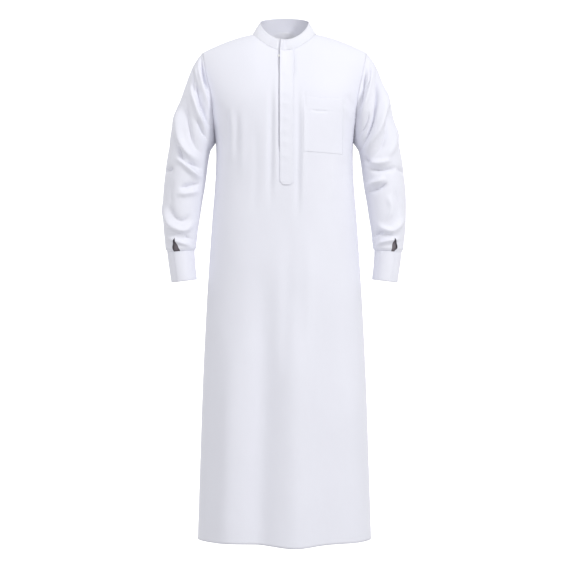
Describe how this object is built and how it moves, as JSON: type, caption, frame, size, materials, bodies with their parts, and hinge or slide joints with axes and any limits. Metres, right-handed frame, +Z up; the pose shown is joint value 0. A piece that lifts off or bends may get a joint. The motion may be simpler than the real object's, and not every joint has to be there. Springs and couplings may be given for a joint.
{
  "type": "thobe robe",
  "caption": "Long white robe with a stand collar, half placket, chest pocket and buttoned cuffs, hollow and in the shape it has when worn.",
  "frame": {"origin": "middle of the neck hole, level with the sides of the collar seam, where the wearer's neck and shoulders hold the robe up", "axes": "+Z up towards the collar, -Y out of the robe's front, +X towards the wearer's left"},
  "size_m": [0.668, 0.3354, 1.444],
  "materials": {
    "robe_cloth": "fine plain weave, soft low sheen",
    "double_cloth": "the same cloth, doubled and topstitched",
    "button_resin": "pearly resin",
    "dark_underlap": "dull dark grey cloth"
  },
  "bodies": {
    "root": {"front_panel": "robe_cloth", "back_panel": "robe_cloth", "sleeve_left": "robe_cloth", "sleeve_right": "robe_cloth", "collar_band": "double_cloth", "front_placket": "double_cloth", "under_placket": "double_cloth", "chest_pocket": "double_cloth", "cuff_left": "double_cloth", "cuff_right": "double_cloth", "neck_button": "button_resin", "vent_underlap_left": "dark_underlap", "vent_underlap_right": "dark_underlap"}
  },
  "joints": []
}
